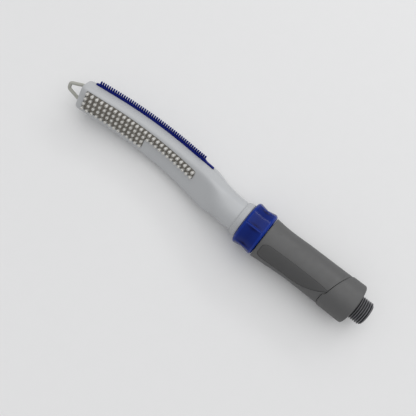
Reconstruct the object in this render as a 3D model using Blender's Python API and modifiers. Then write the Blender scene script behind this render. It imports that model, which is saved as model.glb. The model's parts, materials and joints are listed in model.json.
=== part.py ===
"""Handheld pet bath sprayer.

A curved spray head with soft nozzle nubs, a side comb and a hanging loop is joined by a
rotary flow valve to a straight handle with a male G1/2 hose thread.

Everything is modelled in millimetres in the wand's own frame and written in metres:
+X runs along the handle from the tip to the hose thread, with x = 0 at the middle of the
flow ring, +Y is the comb side and +Z is the nozzle side. The empty "wand_pose" then rolls
and tilts the wand into the pose in which it lies on a table.
"""

import math

import bmesh
import bpy
from mathutils import Matrix, Vector

MM = 0.001
GAP = 0.3

# ---- resting pose on the table -------------------------------------------------------
ROLL = math.radians(45.9)
TILT = math.radians(1.44)

# ---- head: centre line and cross-section ---------------------------------------------
NECK_END_X = -15.7
NECK_STRAIGHT = 6.0
NECK_BEND_RADIUS = 30.0
NECK_BEND_ANGLE = math.radians(19.0)
HEAD_BEND_RADIUS = 257.8
HEAD_BEND_ANGLE = math.radians(30.0)
NECK_BEND_LENGTH = NECK_BEND_RADIUS * NECK_BEND_ANGLE
HEAD_BEND_LENGTH = HEAD_BEND_RADIUS * HEAD_BEND_ANGLE
TIP_STRAIGHT = 25.5
HEAD_LENGTH = NECK_STRAIGHT + NECK_BEND_LENGTH + HEAD_BEND_LENGTH + TIP_STRAIGHT
COMB_SIDE_WIDTH = 12.9
FAR_SIDE_WIDTH = 14.3
HEAD_TOP = 12.2
HEAD_BACK = 12.4
HIP_BULGE = 1.6
HIP_COMB_SIDE = 0.8
HIP_COMB_BACK = 3.0
HIP_AT = 42.0
HIP_SPREAD = 14.0
HEAD_TAPER = 0.0012
HEAD_MIDDLE = 95.0
HEAD_ROUNDNESS = 6
NECK_RADIUS = 13.6
NECK_BLEND = (11.0, 34.0)
TIP_ROUNDING = 5.0
TIP_SHRINK = 0.16
SHELL_WALL = 2.0
NECK_WALL = 1.3

# ---- nozzle field and comb -----------------------------------------------------------
ROW_PITCH = 4.8
COLUMN_PITCH = 4.73
ROW_CENTRE = 0.2
COLUMNS = 26
SHORT_ROW_COLUMNS = 14
FIRST_COLUMN = 168.9
NUB_RADIUS = 1.3
NUB_HEIGHT = 3.3
NUB_TIP_RADIUS = 1.1
WINDOW_MARGIN = 0.65
MAT_DEPTH = 2.9
MAT_THICKNESS = 1.6
MAT_HALF_WIDTH = 8.8
SEAM_HEIGHT = -2.0
COMB_SPAN = (42.8, 169.6)
COMB_FIRST_TOOTH = 165.8
COMB_LAST_TOOTH = 54.6
COMB_TEETH = 54
COMB_RAIL_HALF = 1.25
COMB_RAIL_PROUD = 1.9
COMB_LET_IN = 1.1
COMB_TONGUE_HALF = 0.6
COMB_TOOTH_LENGTH = 3.2
COMB_TOOTH_WIDTH = 1.1

# ---- hanging loop --------------------------------------------------------------------
LOOP_RADIUS = 1.65
LOOP_CENTRE_Y = -1.4
LOOP_HEIGHT = 1.5
LOOP_HALF_WIDTH = 7.2
LOOP_APEX_HALF = 2.8
LOOP_REACH = 13.3
LOOP_BAR_SETBACK = 4.05

# ---- flow ring and valve -------------------------------------------------------------
RING_MIDDLE = 0.6
RING_HALF_LENGTH = 9.8
RING_RADIUS = 19.5
RING_BEAD = 2.8
RING_PADS = 6
GROOVE_ANGLE = math.radians(54.5)
GROOVE_DIP = 1.3
PAD_DIP = 0.8
BEARING_RADIUS = 12.0
ROTOR_RADIUS = 8.0
PORT_RADIUS = 2.3
PORT_OFFSET = 4.4
PIN_RADIUS = 1.2
FLOW_TRAVEL = math.radians(90.0)

# ---- handle --------------------------------------------------------------------------
HANDLE_START = 10.8
HANDLE_END = 99.0
CAP_RADIUS = 18.0
BELLY_SHIFT = 1.0
BELLY_ANGLE = math.radians(143.0)
CAP_SEAM_X = 82.1
CAP_SEAM_SLOPE = 0.417
TAIL_RADIUS = 14.9
TUBE_RADIUS = 6.3
TUBE_BORE = 4.8

# ---- G1/2 hose thread ----------------------------------------------------------------
THREAD_MAJOR_RADIUS = 20.955 / 2
THREAD_DEPTH = 1.162
THREAD_PITCH = 1.814
THREAD_START = 100.6
THREAD_TURNS = 6
INLET_END = 111.8


# ---- scene helpers -------------------------------------------------------------------
def clear_scene():
    for old in list(bpy.data.objects):
        bpy.data.objects.remove(old, do_unlink=True)


def make_collection(name):
    made = bpy.data.collections.new(name)
    bpy.context.scene.collection.children.link(made)
    return made


def material(name, colour, roughness, metallic=0.0):
    made = bpy.data.materials.new(name)
    made.use_nodes = True
    shader = made.node_tree.nodes["Principled BSDF"]
    shader.inputs["Base Color"].default_value = (*colour, 1.0)
    shader.inputs["Roughness"].default_value = roughness
    shader.inputs["Metallic"].default_value = metallic
    made.diffuse_color = (*colour, 1.0)
    return made


def add_object(name, mesh, finish=None):
    """Link a mesh as a part, or as a cutter when it has no finish."""
    made = bpy.data.objects.new(name, mesh)
    if finish is None:
        cutters.objects.link(made)
        made.hide_render = True
        made.display_type = "WIRE"
    else:
        parts.objects.link(made)
        mesh.materials.append(material(name + "_finish", *finish))
        mesh.shade_smooth()
    made.parent = pose
    return made


def mesh_from(name, bm):
    bmesh.ops.scale(bm, vec=(MM, MM, MM), verts=bm.verts)
    bmesh.ops.recalc_face_normals(bm, faces=bm.faces)
    mesh = bpy.data.meshes.new(name)
    bm.to_mesh(mesh)
    bm.free()
    return mesh


def boolean(target, tool, operation="DIFFERENCE"):
    modifier = target.modifiers.new(operation.lower() + "_" + tool.name, "BOOLEAN")
    modifier.operation = operation
    modifier.solver = "EXACT"
    modifier.object = tool


def turned(name, profile, finish=None, steps=24):
    """Revolve a closed (x, radius) outline about the wand's axis."""
    area = sum(x0 * r1 - x1 * r0 for (x0, r0), (x1, r1) in zip(profile, profile[1:] + profile[:1]))
    if area < 0:
        profile = profile[::-1]
    mesh = bpy.data.meshes.new(name)
    points = [(x * MM, r * MM, 0.0) for x, r in profile]
    edges = [(i, (i + 1) % len(points)) for i in range(len(points))]
    mesh.from_pydata(points, edges, [])
    made = add_object(name, mesh, finish)
    screw = made.modifiers.new("turn", "SCREW")
    screw.axis = "X"
    screw.angle = math.tau
    screw.steps = steps
    screw.render_steps = steps
    screw.use_merge_vertices = True
    screw.merge_threshold = 0.00001
    screw.use_smooth_shade = True
    return made


def radial(radius, angle, x=0.0):
    return Vector((x, radius * math.cos(angle), radius * math.sin(angle)))


def sculpted(name, outline, steps, finish=None):
    """Sweep a closed (x, radius) outline that changes with the angle about the wand's axis."""
    bm = bmesh.new()
    slices = []
    for i in range(steps):
        angle = GROOVE_ANGLE + math.tau * i / steps
        slices.append([bm.verts.new(radial(r, angle, x)) for x, r in outline(angle)])
    for near, far in zip(slices, slices[1:] + slices[:1]):
        for j in range(len(near)):
            k = (j + 1) % len(near)
            bm.faces.new((near[j], near[k], far[k], far[j]))
    return add_object(name, mesh_from(name, bm), finish)


def washer(x0, x1, inner, outer):
    return [(x0, inner), (x1, inner), (x1, outer), (x0, outer)]


def o_ring(name, x, radius, thickness, finish):
    half = thickness / 2
    turn = [math.tau * (i + 0.5) / 6 for i in range(6)]
    outline = [(x + half * math.cos(a), radius + half * math.sin(a)) for a in turn]
    return turned(name, outline, finish, steps=20)


def rod(name, radius, start, end, sides=16, finish=None):
    """A straight cylinder between two points."""
    start, end = Vector(start), Vector(end)
    bm = bmesh.new()
    bmesh.ops.create_cone(bm, cap_ends=True, segments=sides, radius1=radius, radius2=radius,
                          depth=(end - start).length)
    turn = Vector((0, 0, 1)).rotation_difference(end - start).to_matrix().to_4x4()
    bmesh.ops.transform(bm, matrix=Matrix.Translation((start + end) / 2) @ turn, verts=bm.verts)
    return add_object(name, mesh_from(name, bm), finish)


def loft_mesh(name, rings):
    """Skin closed rings of points, with a flat face on each end."""
    bm = bmesh.new()
    loops = [[bm.verts.new(point) for point in ring] for ring in rings]
    for near, far in zip(loops, loops[1:]):
        for i in range(len(near)):
            j = (i + 1) % len(near)
            bm.faces.new((near[i], near[j], far[j], far[i]))
    bm.faces.new(loops[0][::-1])
    bm.faces.new(loops[-1])
    return mesh_from(name, bm)


# ---- geometry of the head ------------------------------------------------------------
def smooth_step(value, start, end):
    t = min(max((value - start) / (end - start), 0.0), 1.0)
    return t * t * (3 - 2 * t)


def spine(u):
    """Centre line of the head: x, z and downward slope, u mm from the neck's end."""
    x, z, slope = NECK_END_X, 0.0, 0.0
    runs = (
        (NECK_STRAIGHT, 0.0),
        (NECK_BEND_LENGTH, 1 / NECK_BEND_RADIUS),
        (HEAD_BEND_LENGTH, -1 / HEAD_BEND_RADIUS),
        (math.inf, 0.0),
    )
    for length, curvature in runs:
        step = min(u, length)
        if curvature:
            after = slope + curvature * step
            x -= (math.sin(after) - math.sin(slope)) / curvature
            z -= (math.cos(slope) - math.cos(after)) / curvature
            slope = after
        else:
            x -= step * math.cos(slope)
            z -= step * math.sin(slope)
        u -= step
        if u <= 0:
            break
    return x, z, slope


def on_spine(u, y, height):
    """A point beside and above the centre line."""
    x, z, slope = spine(u)
    return Vector((x - height * math.sin(slope), y, z + height * math.cos(slope)))


def head_radius(angle, u):
    """Distance from the centre line to the head's surface; 90 degrees is the nozzle face.

    The section is a rounded pentagon: a flat nozzle face, two sides and two flat back
    facets, on either of which the head can rest. It becomes round towards the neck.
    """
    scale = 1 + HEAD_TAPER * (HEAD_MIDDLE - u)
    hip = math.exp(-(((u - HIP_AT) / HIP_SPREAD) ** 2))
    faces = ((0, COMB_SIDE_WIDTH * scale + HIP_COMB_SIDE * hip), (90, HEAD_TOP),
             (180, FAR_SIDE_WIDTH * scale), (225, HEAD_BACK + HIP_BULGE * hip),
             (315, HEAD_BACK + HIP_COMB_BACK * hip))
    total = 0.0
    for normal, distance in faces:
        lean = math.cos(angle - math.radians(normal))
        total += max(lean / distance, 0.0) ** HEAD_ROUNDNESS
    round_share = 1 - smooth_step(u, *NECK_BLEND)
    radius = round_share * NECK_RADIUS + (1 - round_share) * total ** (-1 / HEAD_ROUNDNESS)
    into_tip = min(max((u - HEAD_LENGTH + TIP_ROUNDING) / TIP_ROUNDING, 0.0), 1.0)
    return radius * (1 - TIP_SHRINK * (1 - math.sqrt(1 - into_tip ** 2)))


def head_ring(u, inset, sides):
    ring = []
    for i in range(sides):
        angle = math.tau * i / sides
        radius = head_radius(angle, u) - inset
        ring.append(on_spine(u, radius * math.cos(angle), radius * math.sin(angle)))
    return ring


def head_body(name, stations, neck_inset, head_inset, sides=24):
    """The head's outer form, shrunk by one amount at the neck and another in the head."""
    rings = []
    for u in stations:
        inset = neck_inset + (head_inset - neck_inset) * smooth_step(u, 9.0, 22.0)
        rings.append(head_ring(u, inset, sides))
    return add_object(name, loft_mesh(name, rings))


def spine_stations(start, end, step):
    count = max(1, round((end - start) / step))
    return [start + (end - start) * i / count for i in range(count + 1)]


def spine_bar(name, start, end, outline, finish=None, step=12.0):
    """A bar along the centre line; outline(u) gives its (y, height) corners."""
    rings = []
    for u in spine_stations(start, end, step):
        rings.append([on_spine(u, y, height) for y, height in outline(u)])
    return add_object(name, loft_mesh(name, rings), finish)


def box_outline(y0, y1, low, high):
    return lambda u: [(y0, low), (y1, low), (y1, high), (y0, high)]


def row_y(row):
    return ROW_CENTRE + (row - 1.5) * ROW_PITCH


def column_u(column):
    return FIRST_COLUMN - column * COLUMN_PITCH


# ---- finishes: colour, roughness, metallic -------------------------------------------
LIGHT_GREY = ((0.45, 0.46, 0.47), 0.38)
NUB_GREY = ((0.50, 0.49, 0.44), 0.55)
RING_BLUE = ((0.015, 0.03, 0.20), 0.35)
COMB_BLUE = ((0.01, 0.02, 0.15), 0.40)
DARK_GREY = ((0.13, 0.13, 0.14), 0.55)
INLAY_GREY = ((0.09, 0.09, 0.09), 0.75)
THREAD_GREY = ((0.06, 0.06, 0.07), 0.45)
INNER_WHITE = ((0.75, 0.75, 0.72), 0.45)
BLACK_RUBBER = ((0.02, 0.02, 0.02), 0.70)
STEEL = ((0.60, 0.60, 0.62), 0.30, 1.0)


# ---- head ----------------------------------------------------------------------------
def head_stations(start, end):
    near = [u for u in (0.0, 4.0, 8.0, 12.0, 16.0, 20.0, 25.0, 32.0, 41.0) if u > start]
    middle = spine_stations(53.0, HEAD_LENGTH - TIP_ROUNDING, 14.0)
    tip = [HEAD_LENGTH - TIP_ROUNDING * (1 - t) for t in (0.45, 0.75, 0.93)]
    inner = [u for u in near + middle + tip if start < u < end]
    return [start] + inner + [end]


def make_head_shells(comb_groove, loop_holes):
    cavity_end = HEAD_LENGTH - SHELL_WALL
    cavity = head_body("shell_cavity", head_stations(-1.0, cavity_end), NECK_WALL, SHELL_WALL)
    seam = {
        "head_front_shell": (SEAM_HEIGHT - 40.0, SEAM_HEIGHT + GAP / 2),
        "head_back_shell": (SEAM_HEIGHT - GAP / 2, SEAM_HEIGHT + 40.0),
    }
    shells = []
    for name, (low, high) in seam.items():
        rings = [head_ring(u, 0.0, 24) for u in head_stations(0.0, HEAD_LENGTH)]
        shell = add_object(name, loft_mesh(name, rings), LIGHT_GREY)
        other_half = spine_bar(name + "_other_half", -5.0, HEAD_LENGTH + 5.0,
                               box_outline(-40.0, 40.0, low, high), step=9.0)
        boolean(shell, cavity)
        boolean(shell, other_half)
        boolean(shell, comb_groove)
        for hole in loop_holes:
            boolean(shell, hole)
        shells.append(shell)
    edge = NUB_RADIUS + WINDOW_MARGIN
    long_rows = box_outline(row_y(2) - edge, row_y(3) + edge, HEAD_TOP - 5, HEAD_TOP + 9)
    short_rows = box_outline(row_y(0) - edge, row_y(2), HEAD_TOP - 5, HEAD_TOP + 9)
    tip_side = column_u(0) + edge
    windows = (
        ("long_window", column_u(COLUMNS - 1) - edge, long_rows),
        ("short_window", column_u(SHORT_ROW_COLUMNS - 1) - edge, short_rows),
    )
    for name, handle_side, outline in windows:
        boolean(shells[0], spine_bar(name, handle_side, tip_side, outline))
    return shells


def make_nozzle_mat():
    surface = HEAD_TOP - MAT_DEPTH
    outline = box_outline(-MAT_HALF_WIDTH, MAT_HALF_WIDTH, surface - MAT_THICKNESS, surface)
    mat = spine_bar("nozzle_mat", 46.0, 170.7, outline, NUB_GREY)
    bm = bmesh.new()
    for row in range(4):
        columns = COLUMNS if row >= 2 else SHORT_ROW_COLUMNS
        for column in range(columns):
            add_nub(bm, column_u(column), row_y(row), surface - MAT_THICKNESS / 2)
    boolean(mat, add_object("nubs", mesh_from("nubs", bm)), "UNION")


def add_nub(bm, u, y, foot):
    """One soft nub: a six-sided post that narrows a little towards its tip."""
    slope = spine(u)[2]
    along = Vector((-math.cos(slope), 0, -math.sin(slope)))
    across = Vector((0, 1, 0))
    loops = []
    for height, radius in ((foot, NUB_RADIUS), (HEAD_TOP + NUB_HEIGHT, NUB_TIP_RADIUS)):
        centre = on_spine(u, y, height)
        turn = [math.tau * i / 6 for i in range(6)]
        loops.append([bm.verts.new(centre + radius * (math.cos(a) * along + math.sin(a) * across))
                      for a in turn])
    for i in range(6):
        j = (i + 1) % 6
        bm.faces.new((loops[0][i], loops[0][j], loops[1][j], loops[1][i]))
    bm.faces.new(loops[0][::-1])
    bm.faces.new(loops[-1])


def make_water_channel():
    """Hard plate under the mat, its gasket, and the tray that brings the water."""
    mat_back = HEAD_TOP - MAT_DEPTH - MAT_THICKNESS
    plate_top, plate_low = mat_back - GAP, mat_back - GAP - 1.5
    plate = spine_bar("nozzle_plate", 46.0, 170.7, box_outline(-8.8, 8.8, plate_low, plate_top),
                      INNER_WHITE)
    for row in range(4):
        last = (COLUMNS if row >= 2 else SHORT_ROW_COLUMNS) - 1
        slot = box_outline(row_y(row) - 0.6, row_y(row) + 0.6, plate_low - 2, plate_top + 2)
        boolean(plate, spine_bar(f"plate_slot_{row}", column_u(last), column_u(0), slot, step=20.0))

    gasket_top, gasket_low = plate_low - GAP, plate_low - GAP - 0.9
    gasket = spine_bar("plate_gasket", 46.0, 170.4, box_outline(-8.4, 8.4, gasket_low, gasket_top),
                       BLACK_RUBBER)
    boolean(gasket, spine_bar("gasket_opening", 48.2, 168.6,
                              box_outline(-6.6, 6.6, gasket_low - 2, gasket_top + 2)))

    rim = gasket_low - GAP
    start, end = 6.5, 170.4
    stations = head_stations(start, end)
    rings = []
    for u in stations:
        rings.append(head_ring(u, 1.6 + 0.8 * smooth_step(u, 9.0, 22.0), 16))
    tray = add_object("channel_tray", loft_mesh("channel_tray", rings), INNER_WHITE)
    duct = head_body("tray_duct", head_stations(start - 3.0, end - 1.4), 3.2, 4.2, 16)
    above = spine_bar("above_tray", 45.4, HEAD_LENGTH + 4, box_outline(-20, 20, rim, 30), step=9.0)
    boolean(tray, duct)
    boolean(tray, above)


def comb_outline(extra=0.0):
    """The comb rail's T section; extra widens it into the groove that holds it."""
    def outline(u):
        wall = head_radius(math.radians(-9), u) * math.cos(math.radians(9))
        proud = 0.2 + COMB_RAIL_PROUD * (smooth_step(u, 46.0, 54.0)
                                         * smooth_step(u, COMB_SPAN[1] + 1, COMB_SPAN[1] - 5))
        tongue_end = wall - SHELL_WALL - 0.1 - extra
        shoulder = wall - COMB_LET_IN - extra
        outer = wall + proud + (6.0 if extra else 0.0)
        thin, thick = COMB_TONGUE_HALF + extra, COMB_RAIL_HALF + extra
        corners = ((tongue_end, -thin), (shoulder, -thin), (shoulder, -thick), (outer, -thick))
        upper = tuple((y, -h) for y, h in corners[::-1])
        return [(y, SEAM_HEIGHT + h) for y, h in corners + upper]
    return outline


def make_comb():
    comb = spine_bar("comb_strip", *COMB_SPAN, comb_outline(), COMB_BLUE, step=6.0)
    bm = bmesh.new()
    pitch = (COMB_FIRST_TOOTH - COMB_LAST_TOOTH) / (COMB_TEETH - 1)
    for i in range(COMB_TEETH):
        add_tooth(bm, COMB_LAST_TOOTH + i * pitch)
    boolean(comb, add_object("comb_teeth", mesh_from("comb_teeth", bm)), "UNION")
    return spine_bar("comb_groove", COMB_SPAN[0] - GAP, COMB_SPAN[1] + GAP, comb_outline(GAP),
                     step=6.0)


def add_tooth(bm, u):
    """One comb tooth: a blunt wedge that narrows outwards."""
    base = max(y for y, _ in comb_outline()(u))
    loops = []
    sizes = ((-0.5, COMB_TOOTH_WIDTH / 2, 1.0), (COMB_TOOTH_LENGTH, COMB_TOOTH_WIDTH / 4, 0.6))
    for reach, half_width, half_height in sizes:
        corners = ((-1, -1), (1, -1), (1, 1), (-1, 1))
        loops.append([bm.verts.new(on_spine(u + a * half_width, base + reach,
                                            SEAM_HEIGHT + b * half_height)) for a, b in corners])
    for i in range(4):
        j = (i + 1) % 4
        bm.faces.new((loops[0][i], loops[0][j], loops[1][j], loops[1][i]))
    bm.faces.new(loops[0][::-1])
    bm.faces.new(loops[1])


def loop_path():
    """Closed loop: a bar inside the tip and two legs that close in to a rounded end."""
    bar = HEAD_LENGTH - LOOP_BAR_SETBACK
    apex = HEAD_LENGTH + LOOP_REACH
    half = LOOP_HALF_WIDTH
    side = ((bar, half, 1.8), (HEAD_LENGTH + 2.0, half, 4.0), (apex, LOOP_APEX_HALF, 2.5))
    corners = side + tuple((u, -y, radius) for u, y, radius in side[::-1])
    path = []
    for i, (u, y, radius) in enumerate(corners):
        here = Vector((u, y))
        before = Vector(corners[i - 1][:2]) - here
        after = Vector(corners[(i + 1) % len(corners)][:2]) - here
        turn = before.angle(after)
        setback = min(radius / math.tan(turn / 2), 0.45 * before.length, 0.45 * after.length)
        start, end = here + before.normalized() * setback, here + after.normalized() * setback
        for step in range(4):
            t = step / 3
            path.append((1 - t) ** 2 * start + 2 * t * (1 - t) * here + t ** 2 * end)
    return path


def make_hanging_loop():
    curve = bpy.data.curves.new("hanging_loop", "CURVE")
    curve.dimensions = "3D"
    curve.bevel_depth = LOOP_RADIUS * MM
    curve.bevel_resolution = 2
    path = loop_path()
    spline = curve.splines.new("POLY")
    spline.points.add(len(path) - 1)
    for point, (u, y) in zip(spline.points, path):
        point.co = (*(on_spine(u, LOOP_CENTRE_Y + y, LOOP_HEIGHT) * MM), 1.0)
    spline.use_cyclic_u = True
    made = bpy.data.objects.new("hanging_loop", curve)
    parts.objects.link(made)
    curve.materials.append(material("hanging_loop_finish", *NUB_GREY))
    made.parent = pose
    holes = []
    for name, side in (("loop_hole_comb_side", 1), ("loop_hole_far_side", -1)):
        y = LOOP_CENTRE_Y + side * LOOP_HALF_WIDTH
        ends = [on_spine(HEAD_LENGTH + du, y, LOOP_HEIGHT) for du in (-5, 4)]
        holes.append(rod(name, LOOP_RADIUS + GAP, *ends))
    return holes


# ---- flow ring and valve -------------------------------------------------------------
def ring_radius(x, angle):
    """Outside of the flow ring: a round bead at each end, scooped pads with grooves between."""
    along = abs(x - RING_MIDDLE)
    over = min(abs(along - RING_HALF_LENGTH + RING_BEAD) / RING_BEAD, 1.0)
    bead = RING_RADIUS - RING_BEAD * (1 - math.sqrt(1 - over ** 2))
    pad = abs(math.sin(RING_PADS * (angle - GROOVE_ANGLE) / 2)) ** 0.8
    floor = RING_RADIUS - GROOVE_DIP + (GROOVE_DIP - PAD_DIP) * pad
    return max(bead, floor) if along < RING_HALF_LENGTH - RING_BEAD else bead


def make_flow_ring(pin_hole):
    crest = RING_HALF_LENGTH - RING_BEAD
    near = [-crest - RING_BEAD * t for t in (1, 0.87, 0.5, 0, -0.5, -0.87, -1)]
    across = [RING_MIDDLE + x for x in near + [0.0] + [-x for x in near[::-1]]]
    bore = BEARING_RADIUS + GAP
    inside = [(across[-1], bore), (across[0], bore)]
    ring = sculpted("flow_ring", lambda angle: inside + [(x, ring_radius(x, angle)) for x in across],
                    36, RING_BLUE)
    boolean(ring, pin_hole)


def sector_prism(name, inner, outer, start, end, x0, x1):
    """Part of a washer between two angles, as thick as x0 to x1."""
    turns = [start + (end - start) * i / 12 for i in range(13)]
    rings = []
    for x in (x0, x1):
        arc = [radial(outer, a, x) for a in turns] + [radial(inner, a, x) for a in turns[::-1]]
        rings.append(arc)
    return add_object(name, loft_mesh(name, rings))


def make_valve():
    bearing, bore = BEARING_RADIUS, ROTOR_RADIUS + GAP
    body = turned("valve_body", [
        (-26.0, 6.3), (-11.4, 6.3), (-11.4, bore), (20.0, bore), (20.0, bearing),
        (12.7, bearing), (12.7, 11.0), (11.1, 11.0), (11.1, bearing),
        (-21.9, bearing), (-21.9, 8.6), (-26.0, 8.6)], INNER_WHITE)
    slack = math.radians(11.0)
    boolean(body, sector_prism("pin_slot", bore - 1, bearing + 1, GROOVE_ANGLE - slack,
                               GROOVE_ANGLE + FLOW_TRAVEL + slack, -PIN_RADIUS - GAP, PIN_RADIUS + GAP))

    rotor = turned("valve_rotor", [(-6.4, 1.0), (5.6, 1.0), (5.6, ROTOR_RADIUS),
                                   (-6.4, ROTOR_RADIUS)], INNER_WHITE)
    seat = turned("valve_seat", [(-9.4, 1.0), (-6.7, 1.0), (-6.7, ROTOR_RADIUS),
                                 (-9.4, ROTOR_RADIUS)], INNER_WHITE)
    for quarter, piece in ((0, rotor), (1, seat)):
        for side in (0, 1):
            angle = GROOVE_ANGLE + math.pi / 2 * (quarter + 1) + math.pi * side
            port = rod(f"{piece.name}_port_{side}", PORT_RADIUS, radial(PORT_OFFSET, angle, -12),
                       radial(PORT_OFFSET, angle, 9), sides=12)
            boolean(piece, port)
    pin_hole = rod("pin_hole", PIN_RADIUS + GAP, radial(3.6, GROOVE_ANGLE), radial(14.9, GROOVE_ANGLE),
                   sides=12)
    boolean(rotor, pin_hole)
    rod("drive_pin", PIN_RADIUS, radial(3.9, GROOVE_ANGLE), radial(14.6, GROOVE_ANGLE), 12, STEEL)

    turned("seat_gasket", washer(-11.1, -9.7, 6.5, ROTOR_RADIUS), BLACK_RUBBER)
    o_ring("rotor_o_ring", 6.5, 7.2, 1.2, BLACK_RUBBER)
    o_ring("head_o_ring", -23.8, 9.5, 1.2, BLACK_RUBBER)
    retainer = turned("ring_retainer", washer(11.3, 12.5, 11.3, 13.7), STEEL)
    boolean(retainer, sector_prism("retainer_gap", 9.0, 16.0, math.radians(250),
                                   math.radians(280), 10.0, 14.0))
    return pin_hole


def make_neck_collar():
    inner = BEARING_RADIUS + GAP
    turned("neck_collar", [(-15.4, inner), (-9.5, inner), (-9.5, 15.5), (-12.6, 15.5),
                           (-13.0, 15.1), (-14.2, 15.1), (-15.4, 14.1)], LIGHT_GREY, steps=32)


# ---- handle --------------------------------------------------------------------------
def barrel_radius(x, angle):
    """Waisted outside of the handle, with a belly on one side behind the flow ring."""
    waist_x, waist, front, back = 42.0, 17.1, 18.6, 17.4
    belly = BELLY_SHIFT * (1 - smooth_step(x, 20.0, 48.0)) * math.cos(angle - BELLY_ANGLE)
    if x < waist_x:
        flare = (front - waist) * ((waist_x - x) / (waist_x - HANDLE_START)) ** 2
    else:
        flare = (back - waist) * ((x - waist_x) / (HANDLE_END - waist_x)) ** 1.5
    return waist + flare + belly


def barrel_skin(name, start, end, inset, outset, finish=None):
    stations = spine_stations(start, end, 10.0)

    def outline(angle):
        outside = [(x, barrel_radius(x, angle) + outset) for x in stations]
        return outside + [(x, barrel_radius(x, angle) - inset) for x in stations[::-1]]

    return sculpted(name, outline, 32, finish)


def inlay_outline(grow=0.0):
    """Thumb panel seen from the nozzle side: round front, straight comb-side edge."""
    front, back, half = 14.0, 75.0, 6.9
    comb_edge, far_edge = [], []
    for t in (0.0, 0.02, 0.06, 0.12, 0.3, 0.5, 0.62, 0.72, 0.82, 0.92, 1.0):
        x = front + (back - front) * t
        rounding = math.sqrt(min(t / 0.1, 1.0) * (2 - min(t / 0.1, 1.0)))
        rise = max(t - 0.55, 0.0) / 0.45
        comb_edge.append((x, half * (0.45 + 0.55 * rounding) - 0.9 * rise ** 6))
        far_edge.append((x, -half * (0.45 + 0.55 * rounding) + (2 * half - 1.6) * rise ** 1.7))
    centre_x = (front + back) / 2
    outline = comb_edge + far_edge[::-1]
    stretch = 1 + 2 * grow / (back - front)
    return [(centre_x + (x - centre_x) * stretch, y + grow * (1 if i < len(comb_edge) else -1))
            for i, (x, y) in enumerate(outline)]


def inlay_prism(name, grow):
    rings = [[Vector((x, y, z)) for x, y in inlay_outline(grow)] for z in (8.0, 24.0)]
    return add_object(name, loft_mesh(name, rings))


def beyond_cap_seam(name, shift, towards_thread):
    """A block that starts at the oblique seam between barrel and end cap."""
    size = 90.0
    bm = bmesh.new()
    bmesh.ops.create_cube(bm, size=size)
    lean = Matrix.Rotation(-math.atan(CAP_SEAM_SLOPE), 4, "Y")
    side = 1 if towards_thread else -1
    offset = Matrix.Translation((side * size / 2, 0, 0))
    place = Matrix.Translation((CAP_SEAM_X + shift, 0, 0)) @ lean @ offset
    bmesh.ops.transform(bm, matrix=place, verts=bm.verts)
    return add_object(name, mesh_from(name, bm))


def make_handle():
    stations = spine_stations(HANDLE_START, 95.0, 9.0)
    inside = [(95.0, 13.3), (21.0, 13.3), (21.0, 12.3), (13.2, 12.3), (13.2, 14.0),
              (HANDLE_START, 14.0)]
    barrel = sculpted("handle_barrel",
                      lambda angle: [(x, barrel_radius(x, angle)) for x in stations] + inside,
                      32, DARK_GREY)
    tail = turned("tail_skin", washer(60.0, 100.0, TAIL_RADIUS, 22.0), steps=32)
    boolean(tail, beyond_cap_seam("tail_side", 0.0, False))
    boolean(barrel, tail)
    pocket = barrel_skin("inlay_pocket", 11.5, 80.0, 1.3, 3.0)
    boolean(pocket, inlay_prism("pocket_outline", GAP), "INTERSECT")
    boolean(barrel, pocket)

    inlay = barrel_skin("thumb_grip_inlay", 11.5, 80.0, 1.0, 0.05, INLAY_GREY)
    boolean(inlay, inlay_prism("inlay_edge", 0.0), "INTERSECT")

    cap = turned("handle_end_cap", [
        (60.0, TAIL_RADIUS + GAP), (96.3, TAIL_RADIUS + GAP), (96.3, 10.8), (HANDLE_END, 10.8),
        (HANDLE_END, CAP_RADIUS - 1.4), (HANDLE_END - 0.4, CAP_RADIUS - 0.4),
        (HANDLE_END - 1.4, CAP_RADIUS), (60.0, CAP_RADIUS - 0.3)], DARK_GREY, steps=32)
    boolean(cap, beyond_cap_seam("cap_side", GAP, False))

    turned("water_tube", [(7.4, TUBE_BORE), (92.7, TUBE_BORE), (92.7, TUBE_RADIUS),
                          (9.4, TUBE_RADIUS), (9.4, ROTOR_RADIUS), (7.4, ROTOR_RADIUS)], INNER_WHITE)
    o_ring("tube_o_ring", 13.0, 7.3, 1.2, BLACK_RUBBER)


def make_inlet():
    root = THREAD_MAJOR_RADIUS - THREAD_DEPTH
    thread = []
    for turn in range(THREAD_TURNS):
        start = THREAD_START + turn * THREAD_PITCH
        thread += [(start, root), (start + 0.38 * THREAD_PITCH, THREAD_MAJOR_RADIUS),
                   (start + 0.62 * THREAD_PITCH, THREAD_MAJOR_RADIUS)]
    outside = [(80.0, 9.6), (90.5, 9.6), (90.5, 13.0), (95.9, 13.0), (95.9, 10.2),
               (THREAD_START - 0.3, 10.2)] + thread + [(INLET_END - 0.2, root), (INLET_END, root)]
    inside = [(INLET_END, 8.7), (108.3, 8.7), (108.3, 6.8), (93.0, 6.8), (93.0, 8.1), (80.0, 8.1)]
    turned("inlet_connector", outside + inside, THREAD_GREY)
    o_ring("inlet_o_ring", 86.0, 7.2, 1.2, BLACK_RUBBER)
    turned("inlet_washer", washer(109.7, 111.5, 6.2, 8.4), BLACK_RUBBER)
    screen = rod("filter_screen", 8.4, (108.6, 0, 0), (109.4, 0, 0), 24, STEEL)
    for i in range(6):
        angle = math.tau * i / 6
        boolean(screen, rod(f"screen_hole_{i}", 1.6, radial(4.4, angle, 106), radial(4.4, angle, 112),
                            sides=8))


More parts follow.
